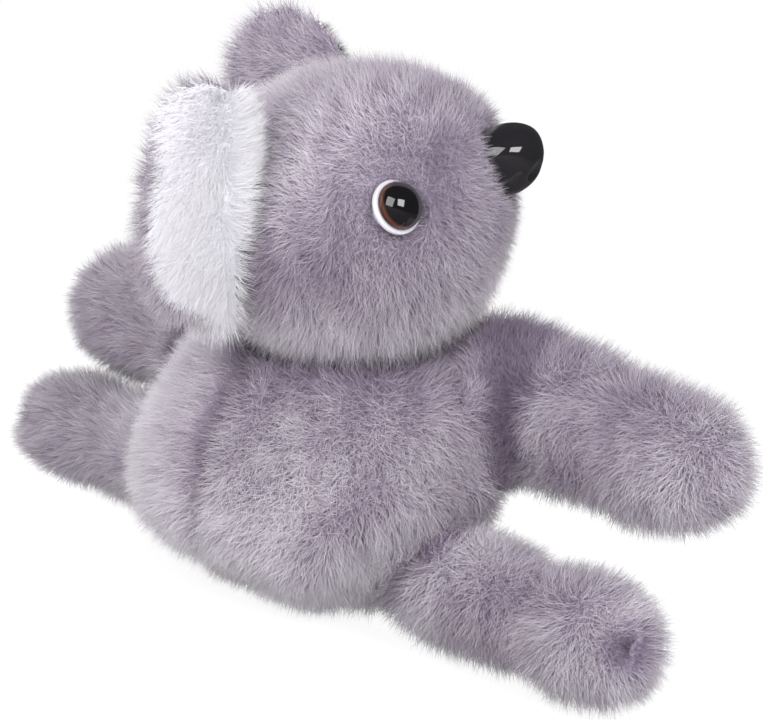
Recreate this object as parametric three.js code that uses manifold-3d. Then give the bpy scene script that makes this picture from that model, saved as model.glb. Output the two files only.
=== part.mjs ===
// Plush koala wristband: a stuffed koala whose arms and legs each hold a spring band that snaps round a wrist.
// Millimetres, +Z up. +X is the koala's right side, +Y is its belly side, and the origin is the middle of its seat.

import * as THREE from 'three';
import { mergeVertices } from 'three/addons/utils/BufferGeometryUtils.js';
import Module from 'manifold-3d';

const wasm = await Module();
wasm.setup();

const radians = THREE.MathUtils.degToRad;

// Fabric and clearances
const GAP = 0.3; // between neighbouring pieces
const PILE = 2.8; // standing pile of the plush
const BACKING = 1.2; // woven backing of the plush
const COVER = PILE + BACKING;
const REACH = 400; // longer than the whole toy, for cutting planes

// Torso
const TORSO_HEIGHT = 74;
const TORSO_HALF_WIDTH = 46;
const TORSO_BACK = 37.5; // depth behind its axis
const TORSO_BELLY = 34; // depth in front of its axis
const TORSO_LEAN = radians(12.6); // the axis leans towards the belly
const TORSO_BARREL = 3; // higher is straighter-sided
const TORSO_SHOULDER = 2.5; // higher is squarer at the top and the seat
const TORSO_BACK_ROUND = 1.5; // higher draws the back in sooner above and below
const SEAT_FLAT = 0.5; // depth of the flat that it sits on
const SEAT_PANEL_BACK = -15; // the belly panel runs on under the seat, back to here
const SEAT_PANEL_TOP = 6;

// Head, in a turned group of its own: +X its right cheek, +Y its nose, +Z its crown
const HEAD_RISE = 19.5; // of its centre above the torso's top
const HEAD_CENTRE = new THREE.Vector3(4, -5.5, TORSO_HEIGHT + HEAD_RISE);
const HEAD_TURN = new THREE.Euler(radians(31.6), radians(22.4), radians(-68.7), 'ZXY');
const HEAD_LENGTH = 77;
const HEAD_HALF_WIDTH = 36;
const HEAD_HALF_HEIGHT = 36;
const HEAD_FORWARD = 2; // the middle of its length lies this far in front of the centre
const HEAD_BARREL = 2.2;
const HEAD_SHOULDER = 2;
const NECK_RADIUS = 19;

// Ears
const EAR_HEIGHT = 58;
const EAR_WIDTH = 37;
const EAR_BACK = 7.5; // thickness of the grey back
const EAR_FRONT = 5; // thickness of the white front
const EAR_RIM = 2.5; // grey edge that shows round the white
const EAR_SPREAD = 36.5; // from the head's centre to each side
const EAR_LIFT = 20.5; // from the head's centre up
const EAR_PLACE = { right: -20, left: -15.5 }; // forward of the head's centre
const EAR_SWEEP = { right: radians(50), left: radians(76) }; // outer edge swept back: the left one flops more
const EAR_TILT = radians(18); // top tipped forward
const EAR_BARREL = 2.2;
const EAR_SHOULDER = 2;

// Eyes
const EYE_DIAMETER = 12;
const EYE_DOME = 5; // height of the dome
const EYE_DOME_STEPS = 5;
const EYE_BACKING_DIAMETER = 13.6;
const EYE_BACKING_THICKNESS = 1.2;
const EYE_PLACE_TURN = radians(60); // from the nose round to the cheek
const EYE_PLACE_LIFT = radians(6);
const EYE_AIM_TURN = radians(40);
const EYE_AIM_LIFT = radians(6);
const EYE_SINK = 1.8; // how deep the backing lies in the pile

// Nose
const NOSE_WIDTH = 18;
const NOSE_HEIGHT = 16;
const NOSE_DEPTH = 11;
const NOSE_TAPER = 0.16; // wider above and narrower below by this share
const NOSE_SINK = 3;
const NOSTRIL_RADIUS = 1.9;
const NOSTRIL_SPREAD = 3.2;
const NOSTRIL_FORWARD = 8.2;
const NOSTRIL_DROP = 4;

// Shanks and locking washers of the eyes and the nose
const SHANK_RADIUS = 2;
const SHANK_LENGTH = 10;
const WASHER_RADIUS = 5;
const WASHER_THICKNESS = 1.2;

// Limbs: each is one plush form along X, cut at its root seam and at its crease
const ARM_LEVEL = 0.79 * TORSO_HEIGHT;
const ARM_HALF_HEIGHT = 0.243 * TORSO_HEIGHT;
const LEG_LEVEL = 0.243 * TORSO_HEIGHT;
const LEG_HALF_HEIGHT = 0.227 * TORSO_HEIGHT;
const ARM = {
  rootX: 39,
  rootTilt: 0,
  creaseX: 72,
  tipX: 107,
  y: 20.5,
  z: ARM_LEVEL,
  halfHeight: ARM_HALF_HEIGHT,
  halfDepth: 14,
  taper: 0.08,
  waist: 0,
  waistX: 72,
  bandDrop: 2, // the band runs below the limb's axis, clear of the shoulder
};
const LEG = {
  rootX: 35.5,
  rootTilt: radians(29),
  creaseX: 70,
  tipX: 106,
  y: 12,
  z: LEG_LEVEL,
  halfHeight: LEG_HALF_HEIGHT,
  halfDepth: 14,
  taper: -0.02,
  waist: 0.13,
  waistX: 70,
  bandDrop: 0,
};
const LIMB_INNER_X = 8; // where a limb's form starts inside the torso
const LIMB_BARREL = 4.5;
const LIMB_SHOULDER = 2;
const WAIST_LENGTH = 9;

// Spring bands
const BAND_WIDTH = 18;
const BAND_THICKNESS = 1.2; // spring steel in its sleeve
const BAND_CROWN = 1.5; // rise of its curved section
const BAND_OFFSET = 3.5; // from the limb's axis towards the belly
const BAND_END = 21; // from the end of the band to the tip of the limb

// Facets
const TORSO_SIDES = 24;
const TORSO_RINGS = 12;
const HEAD_SIDES = 20;
const HEAD_RINGS = 10;
const LIMB_SIDES = 14;
const LIMB_RINGS = 10;
const EAR_SIDES = 16;
const EAR_RINGS = 8;
const NOSE_RINGS = 10;
const NOSTRIL_SIDES = 10;
const ROUND_SIDES = 16;

const MATERIALS = {
  greyPlush: new THREE.MeshStandardMaterial({ color: 0xb6b0ba, roughness: 1 }),
  whitePlush: new THREE.MeshStandardMaterial({ color: 0xeae7ee, roughness: 1 }),
  stuffing: new THREE.MeshStandardMaterial({ color: 0xf1eee6, roughness: 1 }),
  springSteel: new THREE.MeshStandardMaterial({ color: 0x8d9298, roughness: 0.35, metalness: 0.9 }),
  eyeBrown: new THREE.MeshStandardMaterial({ color: 0x3a2214, roughness: 0.08 }),
  eyeWhite: new THREE.MeshStandardMaterial({ color: 0xf3f1ee, roughness: 0.4 }),
  noseBlack: new THREE.MeshStandardMaterial({ color: 0x141317, roughness: 0.12 }),
  washer: new THREE.MeshStandardMaterial({ color: 0xdadad6, roughness: 0.5 }),
};

/** A closed geometry as a solid that can be joined and cut. */
function solid(geometry) {
  const bare = geometry.clone();
  for (const name of Object.keys(bare.attributes)) {
    if (name !== 'position') bare.deleteAttribute(name);
  }
  const merged = mergeVertices(bare, 1e-4);
  return new wasm.Manifold(new wasm.Mesh({
    numProp: 3,
    vertProperties: Float32Array.from(merged.attributes.position.array),
    triVerts: Uint32Array.from(merged.index.array),
  }));
}

/** A named mesh from a solid. */
function piece(name, body, material) {
  const { vertProperties, triVerts } = body.getMesh();
  const geometry = new THREE.BufferGeometry();
  geometry.setAttribute('position', new THREE.BufferAttribute(Float32Array.from(vertProperties), 3));
  geometry.setIndex(new THREE.BufferAttribute(Uint32Array.from(triVerts), 1));
  geometry.computeVertexNormals();
  const mesh = new THREE.Mesh(geometry, material);
  mesh.name = name;
  return mesh;
}

/** A box between two corners. */
function block([x0, y0, z0], [x1, y1, z1]) {
  return new THREE.BoxGeometry(x1 - x0, y1 - y0, z1 - z0)
    .translate((x0 + x1) / 2, (y0 + y1) / 2, (z0 + z1) / 2);
}

/**
 * A stuffed form along Z about its own middle. Its section is an ellipse with a back and a front half, and its
 * outline is a superellipse times the swell, a function of the place along Z. The inset shrinks it all round.
 */
function stuffedForm(form, inset = 0) {
  const { length, halfWidth, back, front, barrel, shoulder, rings, sides } = form;
  const { swell = () => 1, backRound = 1 } = form;
  const halfLength = length / 2 - inset;
  const points = [0, 0, -halfLength];
  for (let ring = 1; ring < rings; ring += 1) {
    const share = -Math.cos((Math.PI * ring) / rings);
    const outline = (1 - Math.abs(share) ** barrel) ** (1 / shoulder) * swell(share * halfLength);
    for (let side = 0; side < sides; side += 1) {
      const angle = (2 * Math.PI * side) / sides;
      const depth = Math.sin(angle) < 0
        ? (back - inset) * outline ** backRound
        : (front - inset) * outline;
      points.push(
        (halfWidth - inset) * outline * Math.cos(angle),
        depth * Math.sin(angle),
        share * halfLength,
      );
    }
  }
  points.push(0, 0, halfLength);

  const last = points.length / 3 - 1;
  const at = (ring, side) => 1 + (ring - 1) * sides + (side % sides);
  const faces = [];
  for (let side = 0; side < sides; side += 1) {
    faces.push(0, at(1, side + 1), at(1, side));
    faces.push(last, at(rings - 1, side), at(rings - 1, side + 1));
    for (let ring = 1; ring < rings - 1; ring += 1) {
      faces.push(at(ring, side), at(ring, side + 1), at(ring + 1, side + 1));
      faces.push(at(ring, side), at(ring + 1, side + 1), at(ring + 1, side));
    }
  }
  const geometry = new THREE.BufferGeometry();
  geometry.setAttribute('position', new THREE.Float32BufferAttribute(points, 3));
  geometry.setIndex(faces);
  return geometry;
}

/** A round body turned about Z from an outline of [radius, height] points that starts and ends on the axis. */
function turned(outline, sides = ROUND_SIDES) {
  return new THREE.LatheGeometry(outline.map(([r, h]) => new THREE.Vector2(r, h)), sides);
}

/** A lathe stands along Y; this lays it along Z. */
function alongZ(geometry) {
  return geometry.rotateX(Math.PI / 2);
}

// Torso form: leaning barrel with a flat seat
const torsoShape = {
  length: TORSO_HEIGHT,
  halfWidth: TORSO_HALF_WIDTH,
  back: TORSO_BACK,
  front: TORSO_BELLY,
  barrel: TORSO_BARREL,
  shoulder: TORSO_SHOULDER,
  backRound: TORSO_BACK_ROUND,
  rings: TORSO_RINGS,
  sides: TORSO_SIDES,
};
const lean = new THREE.Matrix4().makeShear(0, 0, 0, 0, 0, Math.tan(TORSO_LEAN));

function torsoForm(inset) {
  const geometry = stuffedForm(torsoShape, inset)
    .translate(0, 0, TORSO_HEIGHT / 2 - SEAT_FLAT)
    .applyMatrix4(lean);
  return solid(geometry);
}

// Head form: a ball drawn out a little towards the nose
const headShape = {
  length: HEAD_LENGTH,
  halfWidth: HEAD_HALF_WIDTH,
  back: HEAD_HALF_HEIGHT,
  front: HEAD_HALF_HEIGHT,
  barrel: HEAD_BARREL,
  shoulder: HEAD_SHOULDER,
  rings: HEAD_RINGS,
  sides: HEAD_SIDES,
};
const headMatrix = new THREE.Matrix4().compose(
  HEAD_CENTRE,
  new THREE.Quaternion().setFromEuler(HEAD_TURN),
  new THREE.Vector3(1, 1, 1),
);

function headForm(inset) {
  return stuffedForm(headShape, inset).rotateX(-Math.PI / 2).translate(0, HEAD_FORWARD, 0);
}

// Limb forms and the planes that cut them
function limbForm(limb, side, inset) {
  const length = limb.tipX - LIMB_INNER_X;
  const middle = (limb.tipX + LIMB_INNER_X) / 2;
  const waistAt = limb.waistX - middle;
  const swell = (along) => 1 - (limb.taper * along) / (length / 2)
    - limb.waist * Math.exp(-(((along - waistAt) / WAIST_LENGTH) ** 2));
  const geometry = stuffedForm({
    length,
    halfWidth: limb.halfHeight,
    back: limb.halfDepth,
    front: limb.halfDepth,
    barrel: LIMB_BARREL,
    shoulder: LIMB_SHOULDER,
    swell,
    rings: LIMB_RINGS,
    sides: LIMB_SIDES,
  }, inset);
  geometry.rotateY((side * Math.PI) / 2).translate(side * middle, limb.y, limb.z);
  return solid(geometry);
}

/** The torso's bulk that a limb's root takes away: outward of its root seam, as far up or down as the limb. */
function rootCut(limb, side) {
  const thickest = limb.halfHeight * (1 + Math.abs(limb.taper)) + GAP;
  const levels = limb === ARM
    ? block([-REACH, -REACH, limb.z - thickest], [REACH, REACH, REACH])
    : block([-REACH, -REACH, -REACH], [REACH, REACH, limb.z + thickest]);
  return beyondRoot(limb, side, 0).intersect(solid(levels));
}

/** Everything outward of a limb's root seam, which may lean in towards the seat. */
function beyondRoot(limb, side, offset) {
  const geometry = side > 0
    ? block([offset, -REACH, -REACH], [REACH, REACH, REACH])
    : block([-REACH, -REACH, -REACH], [-offset, REACH, REACH]);
  geometry.rotateY(side * limb.rootTilt).translate(side * limb.rootX, 0, limb.z);
  return solid(geometry);
}

/** Everything outward of a limb's crease. */
function beyondCrease(limb, side, offset) {
  const inner = limb.creaseX + offset;
  return solid(side > 0
    ? block([inner, -REACH, -REACH], [REACH, REACH, REACH])
    : block([-REACH, -REACH, -REACH], [-inner, REACH, REACH]));
}

/** A spring band from tip to tip, with the shallow curved section of a tape spring. */
function bandBar(limb, clearance) {
  const halfWidth = BAND_WIDTH / 2 + clearance;
  const thickness = BAND_THICKNESS + 2 * clearance;
  const radius = (halfWidth ** 2 + BAND_CROWN ** 2) / (2 * BAND_CROWN);
  const sweep = Math.asin(halfWidth / radius);
  const section = new THREE.Shape();
  section.absarc(0, 0, radius, -sweep, sweep, false);
  section.absarc(0, 0, radius - thickness, sweep, -sweep, true);
  section.closePath();
  const halfLength = limb.tipX - BAND_END + clearance;
  const geometry = new THREE.ExtrudeGeometry(section, {
    depth: 2 * halfLength,
    bevelEnabled: false,
    curveSegments: 4,
  });
  geometry.translate(-radius + thickness / 2, 0, -halfLength);
  geometry.rotateX(Math.PI / 2)
    .rotateZ(Math.PI / 2)
    .translate(0, limb.y + BAND_OFFSET, limb.z - limb.bandDrop);
  return solid(geometry);
}

const SIDES = [['right', 1], ['left', -1]];
const LIMBS = [['arm', 'paw', ARM], ['leg', 'foot', LEG]];
const koala = new THREE.Group();

// Torso: three cover panels with armholes, the stuffing and the middles of both bands
const underSeat = solid(block([-REACH, -REACH, -REACH], [REACH, REACH, 0]));
const headClear = solid(headForm(-GAP).applyMatrix4(headMatrix));

/** The torso with its shoulders and hips, which carry the limbs' forms on to their root seams. */
function trunkForm(inset) {
  let body = torsoForm(inset);
  for (const [, side] of SIDES) {
    for (const [, , limb] of LIMBS) body = body.add(limbForm(limb, side, inset));
  }
  return body;
}

/** A body cut back to the root seams, the seat and the hollow that the head is sewn into. */
function trimmed(body) {
  let rest = body.subtract(headClear).subtract(underSeat);
  for (const [, side] of SIDES) {
    for (const [, , limb] of LIMBS) rest = rest.subtract(rootCut(limb, side));
  }
  return rest;
}

const torsoCover = trimmed(trunkForm(0).subtract(trunkForm(COVER)));
let torsoStuffing = trimmed(trunkForm(COVER + GAP));
for (const [, , limb] of LIMBS) torsoStuffing = torsoStuffing.subtract(bandBar(limb, GAP));

// The side seams run through the armholes and lean with the torso
const sideSeam = (offset) => solid(
  block([-REACH, offset, -REACH], [REACH, REACH, REACH])
    .applyMatrix4(lean)
    .translate(0, LEG.y - LEG.z * Math.tan(TORSO_LEAN), 0),
);
const rightHalf = solid(block([GAP / 2, -REACH, -REACH], [REACH, REACH, REACH]));
const leftHalf = solid(block([-REACH, -REACH, -REACH], [-GAP / 2, REACH, REACH]));
const bellyPanel = (offset) => sideSeam(offset).add(solid(block(
  [-REACH, SEAT_PANEL_BACK + offset, -REACH],
  [REACH, REACH, SEAT_PANEL_TOP - offset],
)));
const torsoBack = torsoCover.subtract(bellyPanel(-GAP / 2));
koala.add(
  piece('torso_back_right', torsoBack.intersect(rightHalf), MATERIALS.greyPlush),
  piece('torso_back_left', torsoBack.intersect(leftHalf), MATERIALS.greyPlush),
  piece('torso_belly', torsoCover.intersect(bellyPanel(GAP / 2)), MATERIALS.greyPlush),
  piece('torso_stuffing', torsoStuffing, MATERIALS.stuffing),
);

// Limbs: sleeve and end with their stuffing, and a length of band in each
for (const [inner, outer, limb] of LIMBS) {
  const band = bandBar(limb, 0);
  let bandMiddle = band;
  for (const [sideName, side] of SIDES) {
    const cover = limbForm(limb, side, 0).subtract(limbForm(limb, side, COVER));
    const stuffing = limbForm(limb, side, COVER + GAP).subtract(bandBar(limb, GAP));
    const fromRoot = beyondRoot(limb, side, GAP);
    const fromCrease = beyondCrease(limb, side, GAP / 2);
    const pastCrease = beyondCrease(limb, side, -GAP / 2);
    const innerPart = (body) => body.intersect(fromRoot).subtract(pastCrease);
    const outerPart = (body) => body.intersect(fromCrease);
    koala.add(
      piece(`${inner}_${sideName}_cover`, innerPart(cover), MATERIALS.greyPlush),
      piece(`${inner}_${sideName}_stuffing`, innerPart(stuffing), MATERIALS.stuffing),
      piece(`${inner}_${sideName}_band`, innerPart(band), MATERIALS.springSteel),
      piece(`${outer}_${sideName}_cover`, outerPart(cover), MATERIALS.greyPlush),
      piece(`${outer}_${sideName}_stuffing`, outerPart(stuffing), MATERIALS.stuffing),
      piece(`${outer}_${sideName}_band`, outerPart(band), MATERIALS.springSteel),
    );
    bandMiddle = bandMiddle.subtract(beyondRoot(limb, side, 0));
  }
  koala.add(piece(`${inner}_band_middle`, bandMiddle, MATERIALS.springSteel));
}

// Head
const head = new THREE.Group();
head.position.copy(HEAD_CENTRE);
head.rotation.copy(HEAD_TURN);
koala.add(head);

const headInverse = headMatrix.clone().invert();
const neck = (clearance) => solid(alongZ(turned([
  [0, -REACH],
  [NECK_RADIUS + clearance, -REACH],
  [NECK_RADIUS + clearance, 0],
  [0, 0],
])).translate(HEAD_CENTRE.x, HEAD_CENTRE.y, HEAD_CENTRE.z).applyMatrix4(headInverse));

const headOuter = solid(headForm(0));
let headCover = headOuter.subtract(solid(headForm(COVER))).subtract(neck(0));
let headStuffing = solid(headForm(COVER + GAP)).add(headOuter.intersect(neck(-GAP)));

/** The frame of a fitting on the head: at a point, with +Z along its aim. */
function fittingFrame(point, aim) {
  const turn = new THREE.Quaternion().setFromUnitVectors(new THREE.Vector3(0, 0, 1), aim);
  return new THREE.Matrix4().compose(point, turn, new THREE.Vector3(1, 1, 1));
}

function direction(turn, lift, side) {
  return new THREE.Vector3(
    side * Math.sin(turn) * Math.cos(lift),
    Math.cos(turn) * Math.cos(lift),
    Math.sin(lift),
  );
}

/** Where a ray from the head's centre leaves its form. */
function headSurface(aim) {
  const probe = new THREE.Mesh(headForm(0), new THREE.MeshBasicMaterial({ side: THREE.DoubleSide }));
  const hits = new THREE.Raycaster(new THREE.Vector3(), aim).intersectObject(probe);
  return hits[0].point;
}

/** A solid cylinder along Z between two heights. */
function rod(radius, bottom, top) {
  return alongZ(turned([[0, bottom], [radius, bottom], [radius, top], [0, top]]));
}

/** A flat ring along Z between two heights. */
function ring(outer, inner, bottom, top) {
  return alongZ(turned([[inner, bottom], [outer, bottom], [outer, top], [inner, top], [inner, bottom]]));
}

const washerTop = -COVER - GAP;
const washerRing = ring(WASHER_RADIUS, SHANK_RADIUS + GAP, washerTop - WASHER_THICKNESS, washerTop);
const shankHole = rod(SHANK_RADIUS + GAP, -SHANK_LENGTH - GAP, 0);
const washerPocket = rod(WASHER_RADIUS + GAP, washerTop - WASHER_THICKNESS - GAP, washerTop + GAP);

for (const [sideName, side] of SIDES) {
  const aim = direction(EYE_AIM_TURN, EYE_AIM_LIFT, side);
  const seat = headSurface(direction(EYE_PLACE_TURN, EYE_PLACE_LIFT, side)).addScaledVector(aim, -EYE_SINK);
  const frame = fittingFrame(seat, aim);
  const placed = (geometry) => solid(geometry.clone().applyMatrix4(frame));
  const recess = rod(EYE_BACKING_DIAMETER / 2 + GAP, 0, COVER + EYE_DOME);
  headCover = headCover.subtract(placed(recess)).subtract(placed(shankHole)).subtract(placed(washerPocket));
  headStuffing = headStuffing.subtract(placed(shankHole)).subtract(placed(washerPocket));

  const backingTop = GAP + EYE_BACKING_THICKNESS;
  const domeFoot = backingTop + GAP;
  const domeOutline = [[0, -SHANK_LENGTH], [SHANK_RADIUS, -SHANK_LENGTH], [SHANK_RADIUS, domeFoot]];
  for (let step = 0; step < EYE_DOME_STEPS; step += 1) {
    const angle = (step / EYE_DOME_STEPS) * (Math.PI / 2);
    domeOutline.push([(EYE_DIAMETER / 2) * Math.cos(angle), domeFoot + EYE_DOME * Math.sin(angle)]);
  }
  domeOutline.push([0, domeFoot + EYE_DOME]);
  const dome = alongZ(turned(domeOutline));
  const backing = ring(EYE_BACKING_DIAMETER / 2, SHANK_RADIUS + GAP, GAP, backingTop);
  head.add(
    piece(`eye_${sideName}`, placed(dome), MATERIALS.eyeBrown),
    piece(`eye_backing_${sideName}`, placed(backing), MATERIALS.eyeWhite),
    piece(`eye_washer_${sideName}`, placed(washerRing), MATERIALS.washer),
  );
}

// Nose: a moulded dome, wide above and narrow below, with two nostrils
const noseShape = {
  length: NOSE_HEIGHT,
  halfWidth: NOSE_WIDTH / 2,
  back: NOSE_DEPTH,
  front: NOSE_DEPTH,
  barrel: 2,
  shoulder: 2,
  swell: (along) => 1 + (NOSE_TAPER * along) / (NOSE_HEIGHT / 2),
  rings: NOSE_RINGS,
  sides: ROUND_SIDES,
};
const noseFoot = HEAD_FORWARD + HEAD_LENGTH / 2 - NOSE_SINK;
const noseFrame = fittingFrame(new THREE.Vector3(0, noseFoot, 0), new THREE.Vector3(0, 1, 0));
const onNoseFrame = (geometry) => solid(geometry.clone().applyMatrix4(noseFrame));
const noseForm = (inset) => solid(stuffedForm(noseShape, inset).translate(0, noseFoot, 0));
const inFrontOf = (y) => solid(block([-REACH, y, -REACH], [REACH, REACH, REACH]));

let nose = noseForm(0).intersect(inFrontOf(noseFoot + GAP));
for (const [, side] of SIDES) {
  const nostril = new THREE.SphereGeometry(NOSTRIL_RADIUS, NOSTRIL_SIDES, NOSTRIL_SIDES / 2)
    .translate(side * NOSTRIL_SPREAD, noseFoot + NOSTRIL_FORWARD, -NOSTRIL_DROP);
  nose = nose.subtract(solid(nostril));
}
nose = nose.add(onNoseFrame(rod(SHANK_RADIUS, -SHANK_LENGTH, NOSE_DEPTH / 2)));
headCover = headCover.subtract(noseForm(-GAP).intersect(inFrontOf(noseFoot)))
  .subtract(onNoseFrame(shankHole))
  .subtract(onNoseFrame(washerPocket));
headStuffing = headStuffing.subtract(onNoseFrame(shankHole)).subtract(onNoseFrame(washerPocket));
head.add(
  piece('nose', nose, MATERIALS.noseBlack),
  piece('nose_washer', onNoseFrame(washerRing), MATERIALS.washer),
);

head.add(
  piece('head_right', headCover.intersect(rightHalf), MATERIALS.greyPlush),
  piece('head_left', headCover.intersect(leftHalf), MATERIALS.greyPlush),
  piece('head_stuffing', headStuffing, MATERIALS.stuffing),
);

// Ears: a grey back and a smaller white front, sewn edge to edge and cut by the head
const headGrown = solid(headForm(-GAP));
function earForm(thickness, rim) {
  return stuffedForm({
    length: EAR_HEIGHT - 2 * rim,
    halfWidth: EAR_WIDTH / 2 - rim,
    back: thickness,
    front: thickness,
    barrel: EAR_BARREL,
    shoulder: EAR_SHOULDER,
    rings: EAR_RINGS,
    sides: EAR_SIDES,
  });
}
const behindEar = solid(block([-REACH, -REACH, -REACH], [REACH, -GAP / 2, REACH]));
const beforeEar = solid(block([-REACH, GAP / 2, -REACH], [REACH, REACH, REACH]));
for (const [sideName, side] of SIDES) {
  const turn = new THREE.Euler(-EAR_TILT, 0, -side * EAR_SWEEP[sideName], 'ZXY');
  const frame = new THREE.Matrix4().compose(
    new THREE.Vector3(side * EAR_SPREAD, EAR_PLACE[sideName], EAR_LIFT),
    new THREE.Quaternion().setFromEuler(turn),
    new THREE.Vector3(1, 1, 1),
  );
  const placed = (body) => body.transform(frame.elements).subtract(headGrown);
  const back = solid(earForm(EAR_BACK, 0)).intersect(behindEar);
  const front = solid(earForm(EAR_FRONT, EAR_RIM)).intersect(beforeEar);
  head.add(
    piece(`ear_back_${sideName}`, placed(back), MATERIALS.greyPlush),
    piece(`ear_front_${sideName}`, placed(front), MATERIALS.whitePlush),
  );
}

export default koala;
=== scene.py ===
# %% [markdown]
# # A plush koala that hugs a wrist
# The toy is a stuffed koala in long grey pile. Its straight arms and legs hold spring bands that curl
# round a wrist. Everything is in metres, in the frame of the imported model: +X is the koala's right side,
# +Y its belly and +Z up. The lesson goes from the light and the camera to the stuffed skin, the fur, the
# eyes and the nose.

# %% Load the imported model
import math

import bpy
import numpy as np
from mathutils import Matrix, Vector
from mathutils.bvhtree import BVHTree
from mathutils.kdtree import KDTree


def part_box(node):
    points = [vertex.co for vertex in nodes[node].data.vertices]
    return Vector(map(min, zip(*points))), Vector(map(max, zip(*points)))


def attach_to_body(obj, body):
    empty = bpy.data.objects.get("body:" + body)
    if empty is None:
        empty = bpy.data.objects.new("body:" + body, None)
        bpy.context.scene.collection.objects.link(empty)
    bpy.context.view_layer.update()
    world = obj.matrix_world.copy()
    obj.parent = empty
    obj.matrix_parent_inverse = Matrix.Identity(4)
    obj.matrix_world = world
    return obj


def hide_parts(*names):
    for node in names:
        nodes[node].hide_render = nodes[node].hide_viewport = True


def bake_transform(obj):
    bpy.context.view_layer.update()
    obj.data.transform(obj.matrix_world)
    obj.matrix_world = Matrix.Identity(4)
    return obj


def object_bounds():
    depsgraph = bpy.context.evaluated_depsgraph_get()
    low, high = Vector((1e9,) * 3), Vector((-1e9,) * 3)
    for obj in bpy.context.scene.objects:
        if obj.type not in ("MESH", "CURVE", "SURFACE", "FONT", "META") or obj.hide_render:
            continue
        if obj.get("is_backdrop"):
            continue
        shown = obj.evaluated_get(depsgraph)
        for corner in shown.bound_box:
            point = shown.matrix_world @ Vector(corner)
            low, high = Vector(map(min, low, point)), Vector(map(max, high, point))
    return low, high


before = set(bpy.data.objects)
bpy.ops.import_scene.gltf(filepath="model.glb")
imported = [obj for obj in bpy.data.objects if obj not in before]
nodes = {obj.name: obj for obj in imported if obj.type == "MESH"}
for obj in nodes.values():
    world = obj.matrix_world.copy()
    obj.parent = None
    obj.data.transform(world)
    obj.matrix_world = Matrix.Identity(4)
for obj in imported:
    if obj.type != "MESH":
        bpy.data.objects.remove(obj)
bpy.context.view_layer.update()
MM = 0.001

# %% [markdown]
# ## Camera
# The photograph looks at the koala's back from its right, a little from above, with the horizon tipped. A
# long lens keeps the head and the near paw at their true sizes, as in a product shot.

# %% Camera
scene = bpy.context.scene
turn, rise, roll = (math.radians(a) for a in (40.1, 6.0, 14.2))
view_back = Vector((math.sin(turn) * math.cos(rise), -math.cos(turn) * math.cos(rise), math.sin(rise)))
level_right = Vector((math.cos(turn), math.sin(turn), 0))
view_right = Matrix.Rotation(roll, 3, view_back) @ level_right
view_up = view_back.cross(view_right)
middle = Vector((0, 8.5, 38)) * MM
CAMERA_FAR, AIM_RIGHT, AIM_UP = 531 * MM, 14.27 * MM, 20.98 * MM
eye_point = middle + CAMERA_FAR * view_back
aim = middle + AIM_RIGHT * view_right + AIM_UP * view_up
view_back = (eye_point - aim).normalized()
view_up = view_back.cross(view_right).normalized()
view_right = view_up.cross(view_back)

bpy.ops.object.camera_add(location=eye_point)
camera = bpy.context.object
camera.rotation_euler = Matrix((view_right, view_up, view_back)).transposed().to_euler()
camera.data.lens = 104.5
camera.data.sensor_width = 36
camera.data.clip_start = 0.01
scene.camera = camera
print("camera at", [round(c, 3) for c in camera.location])

# %% [markdown]
# ## Studio
# A soft toy is lit softly: one wide lamp above on the left, a weaker one on the right, a low one in
# front, a small one behind that lights the fringes, and a pale room all round. The eye and the nose
# mirror the first two lamps as small bright windows, so the lamps are squares. The floor is white to the
# camera and still takes the shadow.

# %% Lamps
scene.view_settings.view_transform = "Standard"
LIT_POINT = Vector((0, 0, 0.06))
LAMP_FAR = 1.2


def lamp(name, back, up, right, power, size):
    """A square lamp, placed by how far it is towards the camera, up and to the right of the picture."""
    place = LIT_POINT + LAMP_FAR * (back * view_back + up * view_up + right * view_right).normalized()
    bpy.ops.object.light_add(type="AREA", location=place)
    made = bpy.context.object
    made.name = name
    made.data.energy = power
    made.data.size = size
    made.rotation_euler = (place - LIT_POINT).to_track_quat("Z", "Y").to_euler()
    return made


lamp("lamp_key", 0.9, 0.42, -0.42, power=9.0, size=0.8)
lamp("lamp_fill", 0.9, 0.34, 0.45, power=7.8, size=0.56)
lamp("lamp_low", 0.95, -0.16, -0.1, power=6.2, size=0.9).visible_glossy = False
lamp("lamp_behind", -0.7, 0.7, -0.3, power=4.5, size=0.6).visible_glossy = False


# %% Node helpers
def added(tree, kind, inputs=None, **settings):
    """A new shader node with its settings and some of its inputs."""
    node = tree.nodes.new(f"ShaderNode{kind}")
    for name, value in settings.items():
        setattr(node, name, value)
    return with_inputs(node, inputs or {})


def with_inputs(node, inputs):
    for name, value in inputs.items():
        node.inputs[name].default_value = value
    return node


def joined(tree, *links):
    """Links nodes: each link names a node and its output, then another node and its input."""
    for source, output, target, into in links:
        tree.links.new(source.outputs[output], target.inputs[into])


def new_material(name):
    made = bpy.data.materials.new(name)
    made.use_nodes = True
    return made, made.node_tree, made.node_tree.nodes["Principled BSDF"]


# %% Pale room
world = bpy.data.worlds.new("pale_room")
scene.world = world
world.use_nodes = True
tree = world.node_tree
room = with_inputs(tree.nodes["Background"], {"Color": (1, 1, 1, 1)})
rays = added(tree, "LightPath")
mirrored_room = added(tree, "Mix", {"A": 0.78, "B": 0.05})
seen_room = added(tree, "Mix", {"B": 1.0})
joined(tree, (rays, "Is Glossy Ray", mirrored_room, "Factor"), (rays, "Is Camera Ray", seen_room, "Factor"),
       (mirrored_room, "Result", seen_room, "A"), (seen_room, "Result", room, "Strength"))
print("room:", world.name)

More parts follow.
